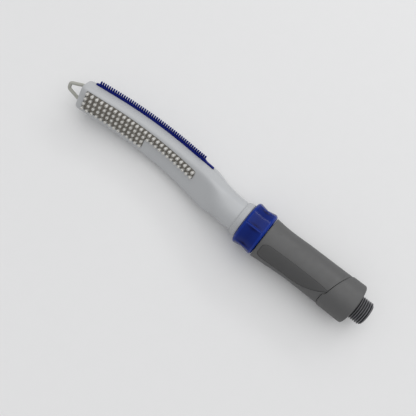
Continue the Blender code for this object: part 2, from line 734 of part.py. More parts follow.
# ---- resting place -------------------------------------------------------------------
def stand_on_origin():
    """Roll and tilt the wand, then put its bounding box's bottom centre on the origin."""
    pose.matrix_world = Matrix.Rotation(TILT, 4, "Y") @ Matrix.Rotation(ROLL, 4, "X")
    bpy.context.view_layer.update()
    depsgraph = bpy.context.evaluated_depsgraph_get()
    low, high = Vector((1e9,) * 3), Vector((-1e9,) * 3)
    for piece in parts.objects:
        evaluated = piece.evaluated_get(depsgraph)
        mesh = evaluated.to_mesh()
        for vertex in mesh.vertices:
            point = evaluated.matrix_world @ vertex.co
            low = Vector(map(min, low, point))
            high = Vector(map(max, high, point))
        evaluated.to_mesh_clear()
    pose.location = (-(low.x + high.x) / 2, -(low.y + high.y) / 2, -low.z)
    bpy.context.view_layer.update()


clear_scene()
parts = make_collection("pet_bath_sprayer")
cutters = make_collection("cutters")
pose = bpy.data.objects.new("wand_pose", None)
bpy.context.scene.collection.objects.link(pose)

make_head_shells(make_comb(), make_hanging_loop())
make_nozzle_mat()
make_water_channel()
make_neck_collar()
make_flow_ring(make_valve())
make_handle()
make_inlet()
stand_on_origin()
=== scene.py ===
"""Looks of the handheld pet bath sprayer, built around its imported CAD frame.

Lengths are in millimetres in the wand's own frame, as in the CAD source: +X runs from the
tip to the hose thread, with x = 0 at the middle of the flow ring, +Y is the comb side and +Z
is the nozzle side. The wand's place on the table comes from the flow ring's joint.
"""

import json
import math

import bmesh
import bpy
from mathutils import Euler, Matrix, Vector


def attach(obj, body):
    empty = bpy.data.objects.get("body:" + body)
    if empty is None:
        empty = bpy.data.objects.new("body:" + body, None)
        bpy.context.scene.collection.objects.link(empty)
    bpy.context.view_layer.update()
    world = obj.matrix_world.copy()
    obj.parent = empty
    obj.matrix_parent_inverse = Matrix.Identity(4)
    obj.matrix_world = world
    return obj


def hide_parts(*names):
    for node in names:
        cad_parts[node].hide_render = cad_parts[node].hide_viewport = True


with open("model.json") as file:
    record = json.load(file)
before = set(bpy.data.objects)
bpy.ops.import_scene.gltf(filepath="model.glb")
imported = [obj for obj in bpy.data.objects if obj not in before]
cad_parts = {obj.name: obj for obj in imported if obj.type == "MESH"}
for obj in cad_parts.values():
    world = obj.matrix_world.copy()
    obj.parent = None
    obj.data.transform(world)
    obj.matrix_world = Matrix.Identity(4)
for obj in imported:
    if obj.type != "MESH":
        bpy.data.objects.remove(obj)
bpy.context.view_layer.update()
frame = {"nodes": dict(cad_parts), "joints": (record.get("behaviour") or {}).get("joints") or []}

MM = 0.001

# ---- the wand's place, from the flow ring's joint ------------------------------------
ROLL = math.radians(45.9)
ring_joint = frame["joints"][0]
wand_axis = Vector(ring_joint["axis"])
WAND = (Matrix.Translation(ring_joint["pos_m"])
        @ Matrix.Rotation(math.atan2(-wand_axis.z, wand_axis.x), 4, "Y")
        @ Matrix.Rotation(ROLL, 4, "X"))

# ---- head: centre line and cross-section ---------------------------------------------
NECK_END_X = -15.7
NECK_STRAIGHT = 6.0
NECK_BEND_RADIUS = 30.0
NECK_BEND_LENGTH = NECK_BEND_RADIUS * math.radians(19.0)
HEAD_BEND_RADIUS = 257.8
HEAD_BEND_LENGTH = HEAD_BEND_RADIUS * math.radians(30.0)
TIP_STRAIGHT = 25.5
HEAD_LENGTH = NECK_STRAIGHT + NECK_BEND_LENGTH + HEAD_BEND_LENGTH + TIP_STRAIGHT
COMB_SIDE_WIDTH = 12.9
FAR_SIDE_WIDTH = 14.3
HEAD_TOP = 12.2
HEAD_BACK = 12.38
HIP_BULGE = 1.6
HIP_COMB_SIDE = 0.8
HIP_COMB_BACK = 3.0
HIP_AT = 42.0
HIP_SPREAD = 14.0
HEAD_TAPER = 0.0012
HEAD_MIDDLE = 95.0
HEAD_ROUNDNESS = 6
NECK_RADIUS = 13.6
NECK_BLEND = (11.0, 34.0)
TIP_ROUNDING = 5.0
TIP_SHRINK = 0.16
SHELL_WALL = 2.0
NECK_WALL = 1.3
WALL_BLEND = (9.0, 22.0)
NECK_EDGE_LENGTH = 0.2
NECK_EDGE_DEPTH = 0.1
SEAM_HEIGHT = -2.0
SEAM_GROOVE = 0.22
SEAM_HALF_GAP = 0.075
SEAM_LIP_SHARE = 0.02

# ---- nozzle field and comb -----------------------------------------------------------
ROW_PITCH = 4.8
COLUMN_PITCH = 4.73
ROW_CENTRE = 0.2
COLUMNS = 26
SHORT_ROW_COLUMNS = 14
FIRST_COLUMN = 168.9
NUB_RADIUS = 1.3
NUB_HEAD_RADIUS = 1.40
NUB_NECK_RADIUS = 1.22
NUB_HEIGHT = 3.3
NUB_HOLE_RADIUS = 0.42
NUB_SHADE_SPAN = (5.0, 2.2)
WINDOW_MARGIN = 0.2
BED_DEPTH = 1.0
BED_GAP = 0.1
BED_OVERLAP = 0.4
WINDOW_CORNER = 1.3
MAT_DEPTH = 2.9
MAT_THICKNESS = 1.6
MAT_HALF_WIDTH = 8.8
MAT_SPAN = (46.0, 170.7)
COMB_SPAN = (42.8, 169.6)
COMB_FIRST_TOOTH = 165.8
COMB_LAST_TOOTH = 54.6
COMB_TEETH = 54
COMB_RAIL_HALF = 1.25
COMB_RAIL_PROUD = 2.1
COMB_TAIL_PROUD = 1.25
COMB_TAIL_RISE = (51.0, 54.0)
COMB_ROOT_DEPTH = 1.6
COMB_TOOTH_LENGTH = 3.2
COMB_TOOTH_WIDTH = 1.35
COMB_TOOTH_HALF_HEIGHT = 1.0

# ---- hanging loop --------------------------------------------------------------------
LOOP_RADIUS = 1.55
LOOP_CENTRE_Y = -1.4
LOOP_HEIGHT = 1.5
LOOP_HALF_WIDTH = 7.2
LOOP_APEX_HALF = 2.8
LOOP_REACH = 13.3
LOOP_BAR_SETBACK = 4.05

# ---- flow ring -----------------------------------------------------------------------
RING_MIDDLE = 0.6
RING_HALF_LENGTH = 9.8
RING_RADIUS = 19.5
RING_BEAD = 2.8
RING_BORE = 12.3
RING_PADS = 6
PAD_SIDE_FRAME = 0.9
PAD_END_FRAME = 3.0
# depth and width of the step inside a pad's frame, of its scoop and of the groove between pads
PAD_STEP = (0.95, 0.55)
PAD_SCOOP = (0.45, 4.0)
PAD_GROOVE = (0.3, 0.35)
COLLAR_BORE = 12.3
GROOVE_ANGLE = math.radians(54.5)

# ---- handle --------------------------------------------------------------------------
HANDLE_START = 10.8
HANDLE_END = 99.0
CAP_RADIUS = 18.0
BELLY_SHIFT = 1.0
BELLY_ANGLE = math.radians(143.0)
BELLY_FADE = (20.0, 48.0)
BARREL_BORE = 14.0
BARREL_FRONT_ROUND = 0.6
INLAY_SPAN = (14.0, 75.0)
INLAY_HALF_WIDTH = 6.9
INLAY_NOSE_SHARE = 0.1
INLAY_NOSE_BLUNT = 0.45
INLAY_TAPER_FROM = 0.55
CAP_TAPER = 0.3 / 39
CAP_END_ROUND = 1.4
CAP_BORE = 10.8
CAP_SEAM_X = 82.1
CAP_SEAM_SLOPE = 0.417
CAP_GROOVE = 0.25
CAP_JOG = 1.8
CAP_JOG_STARTS = (1.36, 1.50)
CAP_JOG_ENDS = (4.4, 3.9)
BARREL_WALL = 2.6

# ---- G1/2 hose thread ----------------------------------------------------------------
THREAD_MAJOR_RADIUS = 20.955 / 2
THREAD_ROOT_RADIUS = THREAD_MAJOR_RADIUS - 1.5
THREAD_PITCH = 1.814
THREAD_START = 100.6
INLET_END = 111.8
INLET_BORE = 8.7
FLANGE_RADIUS = 9.9
SCREEN_X = 109.0

# ---- camera, in the wand's frame -----------------------------------------------------
CAMERA_AT = Vector((17.45, 249.11, 367.34)) * MM
CAMERA_TURN = Euler((math.radians(-25.954), math.radians(26.09), math.radians(29.471)))
CAMERA_LENS = 46.8

# ---- light ---------------------------------------------------------------------------
SKY_COLOUR = (0.98, 0.985, 1.0, 1.0)
SKY_STRENGTH = 0.52
SOFTBOX_STRENGTH = 1.50
SOFTBOX_ANGLE = math.radians(85.0)
SOFTBOX_DIRECTION = Vector((-0.24, -0.34, -1.0))
STRIP_POWER = 0.9
STRIP_SIZE = (0.7, 0.12)
STRIP_AT = Vector((0.1, 0.75, 0.5))
FLOOR_REACH = 3.0


# ---- mesh helpers --------------------------------------------------------------------
def smooth_step(value, start, end):
    t = min(max((value - start) / (end - start), 0.0), 1.0)
    return t * t * (3 - 2 * t)


def radial(radius, angle, x=0.0):
    return Vector((x, radius * math.cos(angle), radius * math.sin(angle)))


def stations(start, end, step):
    """Evenly spaced places from start to end, about a step apart."""
    count = max(1, round((end - start) / step))
    return [start + (end - start) * i / count for i in range(count + 1)]


def skin(bm, rings, around=True, wrap=False, caps=False):
    """Join rings of points with quads; wrap joins the last ring to the first."""
    loops = [[bm.verts.new(point) for point in ring] for ring in rings]
    pairs = list(zip(loops, loops[1:])) + ([(loops[-1], loops[0])] if wrap else [])
    for near, far in pairs:
        count = len(near)
        for i in range(count if around else count - 1):
            j = (i + 1) % count
            bm.faces.new((near[i], near[j], far[j], far[i]))
    if caps:
        bm.faces.new(loops[0][::-1])
        bm.faces.new(loops[-1])
    return loops


def lathe(outline_at, steps=144, start=0.0):
    """Take a closed (x, radius) outline, which may change with the angle, round the axis."""
    rings = []
    for i in range(steps):
        angle = start + math.tau * i / steps
        rings.append([radial(r, angle, x) for x, r in outline_at(angle)])
    bm = bmesh.new()
    skin(bm, rings, wrap=True)
    return bm


def rounded(points, radius=0.3, steps=4):
    """Round every corner of a closed outline; a third number sets a corner's own radius."""
    outline = []
    for i, corner in enumerate(points):
        here = Vector(corner[:2])
        before = Vector(points[i - 1][:2]) - here
        after = Vector(points[(i + 1) % len(points)][:2]) - here
        reach = corner[2] if len(corner) > 2 else radius
        setback = reach / math.tan(before.angle(after) / 2)
        setback = min(setback, 0.45 * before.length, 0.45 * after.length)
        start = here + before.normalized() * setback
        end = here + after.normalized() * setback
        for k in range(steps + 1):
            t = k / steps
            outline.append((1 - t) ** 2 * start + 2 * t * (1 - t) * here + t ** 2 * end)
    return [tuple(point) for point in outline]


def mesh_from(name, bm):
    """Turn millimetre geometry into a mesh in metres."""
    bmesh.ops.remove_doubles(bm, verts=bm.verts, dist=0.0001)
    bmesh.ops.recalc_face_normals(bm, faces=bm.faces)
    bmesh.ops.scale(bm, vec=(MM, MM, MM), verts=bm.verts)
    mesh = bpy.data.meshes.new(name)
    bm.to_mesh(mesh)
    bm.free()
    return mesh


def place(name, data):
    """Put a mesh or curve made in the wand's frame where the CAD has the wand."""
    data.transform(WAND)
    made = bpy.data.objects.new(name, data)
    bpy.context.scene.collection.objects.link(made)
    return made


def solid(name, bm):
    return place(name, mesh_from(name, bm))


def paint(mesh, light_and_shade_at):
    """Store each vertex's share of painted light against painted shade, by its place in the wand's
    frame.
    """
    tone = mesh.attributes.new("painted_light_and_shade", "FLOAT", "POINT")
    for vertex in mesh.vertices:
        tone.data[vertex.index].value = light_and_shade_at(vertex.co / MM)


def cut(target, bm):
    """Take a closed cutter away from a piece, and apply the result."""
    cutter = solid(target.name + "_cutter", bm)
    modifier = target.modifiers.new("cut", "BOOLEAN")
    modifier.operation = "DIFFERENCE"
    modifier.solver = "EXACT"
    modifier.object = cutter
    bpy.context.view_layer.update()
    depsgraph = bpy.context.evaluated_depsgraph_get()
    result = bpy.data.meshes.new_from_object(target.evaluated_get(depsgraph))
    target.modifiers.remove(modifier)
    target.data = result
    bpy.data.objects.remove(cutter, do_unlink=True)


def dress(piece, finish, node, body="wand", replaced=True, sharp=32.0):
    """Shade a piece, give it its material and tie it to the CAD."""
    if piece.type == "MESH":
        piece.data.shade_smooth()
        piece.data.set_sharp_from_angle(angle=math.radians(sharp))
    piece.data.materials.clear()
    piece.data.materials.append(finish)
    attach(piece, body)
    if replaced:
        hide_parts(node)


# ---- materials -----------------------------------------------------------------------
def colour_mix(nodes, first, second):
    mix = nodes.new("ShaderNodeMix")
    mix.data_type = "RGBA"
    mix.inputs["A"].default_value = (*first, 1.0)
    mix.inputs["B"].default_value = (*second, 1.0)
    return mix


def moulded(name, colour, roughness, grain=0.5, depth=0.02, mottle=0.05, spread=0.06,
            specular=0.5, metallic=0.0):
    """A procedural plastic, rubber or metal surface.

    grain is the size of the surface texture and depth its height, in millimetres; mottle is
    how far the colour drifts and spread how far the roughness does.
    """
    made = bpy.data.materials.new(name)
    made.use_nodes = True
    nodes, links = made.node_tree.nodes, made.node_tree.links
    shader = nodes["Principled BSDF"]
    shader.inputs["Specular IOR Level"].default_value = specular
    shader.inputs["Metallic"].default_value = metallic
    coordinates = nodes.new("ShaderNodeTexCoord")

    def noise(size_mm, detail):
        texture = nodes.new("ShaderNodeTexNoise")
        texture.inputs["Scale"].default_value = 1 / (size_mm * MM)
        texture.inputs["Detail"].default_value = detail
        links.new(coordinates.outputs["Object"], texture.inputs["Vector"])
        return texture.outputs["Fac"]

    drift = colour_mix(nodes, [c * (1 - mottle) for c in colour],
                       [c * (1 + mottle) for c in colour])
    links.new(noise(size_mm=14.0, detail=3.0), drift.inputs["Factor"])
    links.new(drift.outputs["Result"], shader.inputs["Base Color"])

    patches = nodes.new("ShaderNodeMapRange")
    patches.inputs["From Min"].default_value = 0.3
    patches.inputs["From Max"].default_value = 0.7
    patches.inputs["To Min"].default_value = max(roughness - spread, 0.02)
    patches.inputs["To Max"].default_value = roughness + spread
    links.new(noise(size_mm=5.0, detail=4.0), patches.inputs["Value"])
    links.new(patches.outputs["Result"], shader.inputs["Roughness"])

    bump = nodes.new("ShaderNodeBump")
    bump.inputs["Strength"].default_value = 1.0
    bump.inputs["Distance"].default_value = depth * MM
    links.new(noise(grain, detail=2.0), bump.inputs["Height"])
    links.new(bump.outputs["Normal"], shader.inputs["Normal"])
    return made


def painted_light_and_shade(finish, shade_colour, lit_colour):
    """Paint light and shade into a finish, between a shaded and a lit colour, by the piece's
    painted light and shade attribute.

    The finish's own colour is multiplied in, so it is given close to white.
    """
    nodes, links = finish.node_tree.nodes, finish.node_tree.links
    attribute = nodes.new("ShaderNodeAttribute")
    attribute.attribute_name = "painted_light_and_shade"
    light_and_shade_mix = colour_mix(nodes, shade_colour, lit_colour)
    links.new(attribute.outputs["Fac"], light_and_shade_mix.inputs["Factor"])
    shader = nodes["Principled BSDF"]
    drift = shader.inputs["Base Color"].links[0].from_socket
    blend = nodes.new("ShaderNodeMix")
    blend.data_type = "RGBA"
    blend.blend_type = "MULTIPLY"
    blend.inputs["Factor"].default_value = 1.0
    links.new(light_and_shade_mix.outputs["Result"], blend.inputs["A"])
    links.new(drift, blend.inputs["B"])
    links.new(blend.outputs["Result"], shader.inputs["Base Color"])


shell_grey = moulded("shell_grey_abs", (0.44, 0.45, 0.46), 0.38, grain=0.9, depth=0.012,
                     mottle=0.03)
# painted shade: the nubs' silicone is mixed down to a dark brown at their feet and stays light
# towards their heads
silicone = moulded("warm_grey_silicone", (0.95, 0.95, 0.95), 0.45, grain=0.7, depth=0.01,
                   mottle=0.06)
painted_light_and_shade(silicone, (0.20, 0.185, 0.16), (0.60, 0.59, 0.56))
# the bed's dark brownish colour is painted shade between the nubs; the mat is the same light
# silicone
silicone_bed_painted_shade = moulded("silicone_bed_painted_shade", (0.20, 0.185, 0.16), 0.60, grain=0.8, depth=0.03,
                       mottle=0.15)
loop_rubber = moulded("loop_elastomer", (0.38, 0.38, 0.34), 0.50, grain=0.6, depth=0.02)
# the ring's blue is painted lighter on its frames and beads as a painted highlight and darker just
# inside its pads as painted shade
ring_blue = moulded("royal_blue_gloss", (0.9, 0.9, 0.9), 0.16, grain=1.2, depth=0.008,
                    mottle=0.10, spread=0.03, specular=0.15)
painted_light_and_shade(ring_blue, (0.001, 0.003, 0.055), (0.006, 0.028, 0.240))
comb_blue = moulded("navy_comb", (0.003, 0.008, 0.135), 0.36, grain=1.0, depth=0.008,
                    mottle=0.12, specular=0.10)
handle_grey = moulded("handle_satin_grey", (0.080, 0.080, 0.080), 0.56, grain=0.45, depth=0.03,
                      mottle=0.05, specular=0.6)
inlay_grey = moulded("soft_touch_inlay", (0.074, 0.074, 0.074), 0.72, grain=0.35, depth=0.05,
                     mottle=0.06, specular=0.3)
# painted highlight on the thread's crests and painted shade in its roots
thread_grey = moulded("thread_nylon", (0.95, 0.95, 0.97), 0.34, grain=0.8, depth=0.02)
painted_light_and_shade(thread_grey, (0.022, 0.022, 0.024), (0.26, 0.26, 0.27))
inner_white = moulded("inner_acetal", (0.72, 0.72, 0.69), 0.42, grain=0.8, depth=0.015)
black_rubber = moulded("black_nitrile", (0.018, 0.018, 0.019), 0.62, grain=0.5, depth=0.02)
steel = moulded("stainless_steel", (0.60, 0.60, 0.62), 0.28, grain=0.25, depth=0.006,
                metallic=1.0)


# ---- geometry of the head ------------------------------------------------------------
def spine(u):
    """Centre line of the head: x, z and downward slope, u mm from the neck's end."""
    x, z, slope = NECK_END_X, 0.0, 0.0
    runs = (
        (NECK_STRAIGHT, 0.0),
        (NECK_BEND_LENGTH, 1 / NECK_BEND_RADIUS),
        (HEAD_BEND_LENGTH, -1 / HEAD_BEND_RADIUS),
        (math.inf, 0.0),
    )
    for length, curvature in runs:
        step = min(u, length)
        if curvature:
            after = slope + curvature * step
            x -= (math.sin(after) - math.sin(slope)) / curvature
            z -= (math.cos(slope) - math.cos(after)) / curvature
            slope = after
        else:
            x -= step * math.cos(slope)
            z -= step * math.sin(slope)
        u -= step
        if u <= 0:
            break
    return x, z, slope


def on_spine(u, y, height):
    """A point beside and above the centre line."""
    x, z, slope = spine(u)
    return Vector((x - height * math.sin(slope), y, z + height * math.cos(slope)))


def head_radius(angle, u):
    """Distance from the centre line to the head's surface; 90 degrees is the nozzle face."""
    scale = 1 + HEAD_TAPER * (HEAD_MIDDLE - u)
    hip = math.exp(-(((u - HIP_AT) / HIP_SPREAD) ** 2))
    faces = ((0, COMB_SIDE_WIDTH * scale + HIP_COMB_SIDE * hip), (90, HEAD_TOP),
             (180, FAR_SIDE_WIDTH * scale), (225, HEAD_BACK + HIP_BULGE * hip),
             (315, HEAD_BACK + HIP_COMB_BACK * hip))
    total = 0.0
    for normal, distance in faces:
        lean = math.cos(angle - math.radians(normal))
        total += max(lean / distance, 0.0) ** HEAD_ROUNDNESS
    round_share = 1 - smooth_step(u, *NECK_BLEND)
    radius = round_share * NECK_RADIUS + (1 - round_share) * total ** (-1 / HEAD_ROUNDNESS)
    into_tip = min(max((u - HEAD_LENGTH + TIP_ROUNDING) / TIP_ROUNDING, 0.0), 1.0)
    return radius * (1 - TIP_SHRINK * (1 - math.sqrt(1 - into_tip ** 2)))


def angle_at_height(u, height, far_side):
    """Angle at which the head's side surface is at a height."""
    angle = 0.0
    for _ in range(8):
        rise = math.asin(height / head_radius(angle, u))
        angle = math.pi - rise if far_side else rise
    return angle


def nozzle_face_height(u, y):
    """Height of the nozzle-side surface above the centre line."""
    angle = math.pi / 2
    for _ in range(8):
        angle = math.acos(y / head_radius(angle, u))
    return head_radius(angle, u) * math.sin(angle)


def row_y(row):
    return ROW_CENTRE + (row - 1.5) * ROW_PITCH


def column_u(column):
    return FIRST_COLUMN - column * COLUMN_PITCH


def comb_wall(u):
    """Distance from the centre line out to the shell at the comb."""
    angle = angle_at_height(u, SEAM_HEIGHT, False)
    return head_radius(angle, u) * math.cos(angle)


# ---- head ----------------------------------------------------------------------------
def half_section(u, front, end_scale=1.0, outer_points=84):
    """One station of a shell half: the outer arc, then the inner arc back again."""
    split = SEAM_HEIGHT + (SEAM_HALF_GAP if front else -SEAM_HALF_GAP)
    comb_end = angle_at_height(u, split, False)
    far_end = angle_at_height(u, split, True)
    if front:
        start, sweep = comb_end, far_end - comb_end
    else:
        start, sweep = far_end, math.tau + comb_end - far_end
    into_edge = max(1 - u / NECK_EDGE_LENGTH, 0.0)
    neck_edge = NECK_EDGE_DEPTH * (1 - math.sqrt(1 - into_edge ** 2))
    lip = SEAM_LIP_SHARE
    shares = [0.0, lip / 2, lip]
    shares += [lip + (1 - 2 * lip) * i / outer_points for i in range(1, outer_points)]
    shares += [1 - lip, 1 - lip / 2, 1.0]
    centre = Vector((0.0, split))
    inner_u = min(u, HEAD_LENGTH - SHELL_WALL)
    wall = NECK_WALL + (SHELL_WALL - NECK_WALL) * smooth_step(u, *WALL_BLEND)
    outer, inner = [], []
    for share in shares:
        angle = start + sweep * share
        groove = SEAM_GROOVE * max(1 - min(share, 1 - share) / lip, 0.0)
        across = Vector((math.cos(angle), math.sin(angle)))
        for radius, station, arc in (
            (head_radius(angle, u) - groove - neck_edge, u, outer),
            (head_radius(angle, inner_u) - wall, inner_u, inner),
        ):
            y, height = centre + (radius * across - centre) * end_scale
            arc.append(on_spine(station, y, height))
    return outer + inner[::-1]


def half_shell(name, front):
    """One half of the head, closed at the tip and walled at the neck."""
    along = [0.0, 0.08, 0.2, 0.4] + stations(1.5, HEAD_LENGTH - TIP_ROUNDING, 1.7)
    tip = [HEAD_LENGTH - TIP_ROUNDING * (1 - math.sin(math.pi / 2 * i / 9)) for i in range(1, 10)]
    rings = [half_section(u, front) for u in along + tip]
    rings += [half_section(HEAD_LENGTH, front, end_scale=s) for s in (0.9, 0.7, 0.45, 0.2, 0.0)]
    bm = bmesh.new()
    first = skin(bm, rings)[0]
    count = len(first)
    for i in range(count // 2 - 1):
        bm.faces.new((first[i + 1], first[i], first[count - 1 - i], first[count - 2 - i]))
    return solid(name, bm)


def window_corners(grow):
    """Corners of the L-shaped window around the nubs, as (u, y)."""
    edge = NUB_RADIUS + WINDOW_MARGIN + grow
    tip_end = column_u(0) + edge
    short_end = column_u(SHORT_ROW_COLUMNS - 1) - edge
    long_end = column_u(COLUMNS - 1) - edge
    far, step, near = row_y(0) - edge, row_y(2) - edge, row_y(3) + edge
    return ((tip_end, far), (tip_end, near), (long_end, near), (long_end, step),
            (short_end, step), (short_end, far))


def window_outline(grow):
    """The window with rounded corners, with as many points for any grow."""
    plain = window_corners(0.0)
    steps = 5
    arcs = rounded(window_corners(grow), WINDOW_CORNER + grow, steps)
    outline = []
    for i, corner in enumerate(plain):
        outline += arcs[i * (steps + 1):(i + 1) * (steps + 1)]
        start = Vector(outline[-1])
        end = Vector(arcs[(i + 1) * (steps + 1) % len(arcs)])
        side = (Vector(corner) - Vector(plain[(i + 1) % len(plain)])).length
        pieces = max(2, round(side / 3))
        outline += [tuple(start.lerp(end, k / pieces)) for k in range(1, pieces)]
    return outline


def make_front_shell():
    """The nozzle-side half, with the window cut through it behind a rounded edge."""
    shell = half_shell("head_front_shell", True)
    bm = bmesh.new()
    grow_and_depth = ((0.55, -3.0), (0.5, -0.02), (0.3, 0.07), (0.12, 0.2), (0.02, 0.4),
                      (0.0, 7.0))
    rings = []
    for grow, depth in grow_and_depth:
        rings.append([on_spine(u, y, nozzle_face_height(u, y) - depth)
                      for u, y in window_outline(grow)])
    skin(bm, rings, caps=True)
    cut(shell, bm)
    dress(shell, shell_grey, "head_front_shell", sharp=38.0)


def make_back_shell():
    dress(half_shell("head_back_shell", False), shell_grey, "head_back_shell", sharp=38.0)


def make_mat():
    """The soft mat: a sheet under the shell, raised inside the window between the nubs."""
    surface = HEAD_TOP - MAT_DEPTH
    bm = bmesh.new()
    half = MAT_HALF_WIDTH
    outline = rounded(((-half, surface - MAT_THICKNESS), (half, surface - MAT_THICKNESS),
                       (half, surface), (-half, surface)), 0.3)
    sheet = [[on_spine(u, y, h) for y, h in outline] for u in stations(*MAT_SPAN, 2.5)]
    skin(bm, sheet, caps=True)
    edge = NUB_RADIUS + WINDOW_MARGIN - BED_GAP
    step = column_u(SHORT_ROW_COLUMNS - 1) - edge
    beds = ((step, column_u(0) + edge, 0), (column_u(COLUMNS - 1) - edge, step, 2))
    for start, end, low_row in beds:
        sides = stations(row_y(low_row) - edge, row_y(3) + edge, 1.8)
        rings = []
        for u in stations(start, end, 2.5):
            top = [on_spine(u, y, nozzle_face_height(u, y) - BED_DEPTH) for y in sides]
            under = [on_spine(u, y, surface - BED_OVERLAP) for y in sides[::-1]]
            rings.append(top + under)
        skin(bm, rings, caps=True)
    # the bed is coloured dark as painted shade between the nubs
    dress(solid("nozzle_mat", bm), silicone_bed_painted_shade, "nozzle_mat")


def make_nubs():
    """Every soft nub: a flared foot, a slim neck and a round head with its jet hole."""
    foot = HEAD_TOP - MAT_DEPTH - 0.1
    top = HEAD_TOP + NUB_HEIGHT
    head, neck, hole = NUB_HEAD_RADIUS, NUB_NECK_RADIUS, NUB_HOLE_RADIUS
    shade = [top - below for below in NUB_SHADE_SPAN]
    profile = [(foot, neck + 0.4), (foot + 1.2, neck + 0.3), (foot + 1.9, neck + 0.1),
               (foot + 2.6, neck), (foot + 3.4, neck), (top - 2.2, neck)]
    for degrees in (-38, -20, 0, 18, 34, 48, 60, 68):
        lean = math.radians(degrees)
        profile.append((top - head * (1 - math.sin(lean)), head * math.cos(lean)))
    profile += [(top - 0.13, hole + 0.06), (top - 0.25, hole), (top - 1.4, hole * 0.8),
                (top - 1.4, 0.0)]
    bm = bmesh.new()
    # painted shade: each nub's colour runs from dark at its foot up to light at its head
    lit_share = bm.verts.layers.float.new("painted_light_and_shade")
    for row in range(4):
        for column in range(COLUMNS if row >= 2 else SHORT_ROW_COLUMNS):
            rings = add_nub(bm, column_u(column), row_y(row), profile)
            for (height, _), ring in zip(profile, rings):
                for vert in ring:
                    vert[lit_share] = smooth_step(height, *shade)
    dress(solid("nozzle_nubs", bm), silicone, "nozzle_mat", replaced=False, sharp=50.0)


def add_nub(bm, u, y, profile, sides=20):
    """One nub, square to the centre line at u; returns its rings of vertices."""
    slope = spine(u)[2]
    along = Vector((-math.cos(slope), 0, -math.sin(slope)))
    across = Vector((0, 1, 0))
    rings = []
    for height, radius in profile:
        centre = on_spine(u, y, height)
        ring = []
        for i in range(sides):
            a = math.tau * i / sides
            ring.append(centre + radius * (math.cos(a) * along + math.sin(a) * across))
        rings.append(ring)
    return skin(bm, rings)


def make_comb():
    """The comb's let-in rail and its row of blunt, slightly waisted teeth."""
    def proud(u):
        rise = smooth_step(u, *COMB_TAIL_RISE)
        rise *= smooth_step(u, COMB_SPAN[1] + 1, COMB_SPAN[1] - 5)
        return COMB_TAIL_PROUD + (COMB_RAIL_PROUD - COMB_TAIL_PROUD) * rise

    bm = bmesh.new()
    rings = []
    for u in stations(*COMB_SPAN, 0.8):
        end_gap = min(u - COMB_SPAN[0], COMB_SPAN[1] - u)
        half = COMB_RAIL_HALF * (0.4 + 0.6 * math.sqrt(1 - max(1 - end_gap, 0.0) ** 2))
        wall, outer = comb_wall(u) - COMB_ROOT_DEPTH, comb_wall(u) + proud(u)
        section = rounded(((wall, -half), (outer, -half), (outer, half), (wall, half)), 0.4)
        rings.append([on_spine(u, y, SEAM_HEIGHT + h) for y, h in section])
    skin(bm, rings, caps=True)

    pitch = (COMB_FIRST_TOOTH - COMB_LAST_TOOTH) / (COMB_TEETH - 1)
    half_width = COMB_TOOTH_WIDTH / 2
    # reach from the rail, and shares of the tooth's half width and half height
    sections = ((-0.6, 1.15, 1.1), (0.0, 1.1, 1.1), (0.5, 1.0, 1.1), (1.9, 0.97, 1.05),
                (2.7, 0.9, 0.98), (3.05, 0.7, 0.75), (COMB_TOOTH_LENGTH, 0.35, 0.4))
    for i in range(COMB_TEETH):
        u = COMB_LAST_TOOTH + i * pitch
        base = comb_wall(u) + proud(u)
        rings = []
        for reach, wide, tall in sections:
            w, h = half_width * wide, COMB_TOOTH_HALF_HEIGHT * tall
            section = rounded(((-w, -h), (w, -h), (w, h), (-w, h)), 0.4 * wide, 2)
            rings.append([on_spine(u + du, base + reach, SEAM_HEIGHT + dh) for du, dh in section])
        skin(bm, rings, caps=True)
    dress(solid("comb_strip", bm), comb_blue, "comb_strip", sharp=50.0)


def make_hanging_loop():
    """A closed wire loop: a bar inside the tip and two legs that meet in a rounded end."""
    bar, apex = HEAD_LENGTH - LOOP_BAR_SETBACK, HEAD_LENGTH + LOOP_REACH
    # u, y and the corner's own radius
    side = ((bar, LOOP_HALF_WIDTH, 1.8), (HEAD_LENGTH + 2.0, LOOP_HALF_WIDTH, 4.5),
            (apex, LOOP_APEX_HALF, 2.9))
    corners = side + tuple((u, -y, radius) for u, y, radius in side[::-1])
    curve = bpy.data.curves.new("hanging_loop", "CURVE")
    curve.dimensions = "3D"
    curve.bevel_depth = LOOP_RADIUS * MM
    curve.bevel_resolution = 8
    path = rounded(corners, steps=12)
    spline = curve.splines.new("POLY")
    spline.points.add(len(path) - 1)
    for point, (u, y) in zip(spline.points, path):
        point.co = (*(on_spine(u, LOOP_CENTRE_Y + y, LOOP_HEIGHT) * MM), 1.0)
    spline.use_cyclic_u = True
    spline.use_smooth = True
    dress(place("hanging_loop", curve), loop_rubber, "hanging_loop")


# ---- flow ring and collar ------------------------------------------------------------
def inside_pad(x, angle):
    """How far a point of the ring is inside its pad, and how far from the nearest groove."""
    spacing = math.tau / RING_PADS
    from_groove = abs((angle - GROOVE_ANGLE + spacing / 2) % spacing - spacing / 2) * RING_RADIUS
    from_end = RING_HALF_LENGTH - abs(x - RING_MIDDLE)
    return min(from_groove - PAD_SIDE_FRAME, from_end - PAD_END_FRAME), from_groove


def ring_surface(x, angle):
    """Outside of the flow ring: six pads, each a rounded frame about a shallow scoop."""
    along = abs(x - RING_MIDDLE)
    inward, from_groove = inside_pad(x, angle)
    over = min(max(along - RING_HALF_LENGTH + RING_BEAD, 0.0) / RING_BEAD, 1.0)
    radius = RING_RADIUS - RING_BEAD * (1 - math.sqrt(1 - over ** 2))
    for depth, width in (PAD_STEP, PAD_SCOOP):
        radius -= depth * smooth_step(inward, 0.0, width)
    depth, width = PAD_GROOVE
    return radius - depth * math.exp(-((from_groove / width) ** 2))


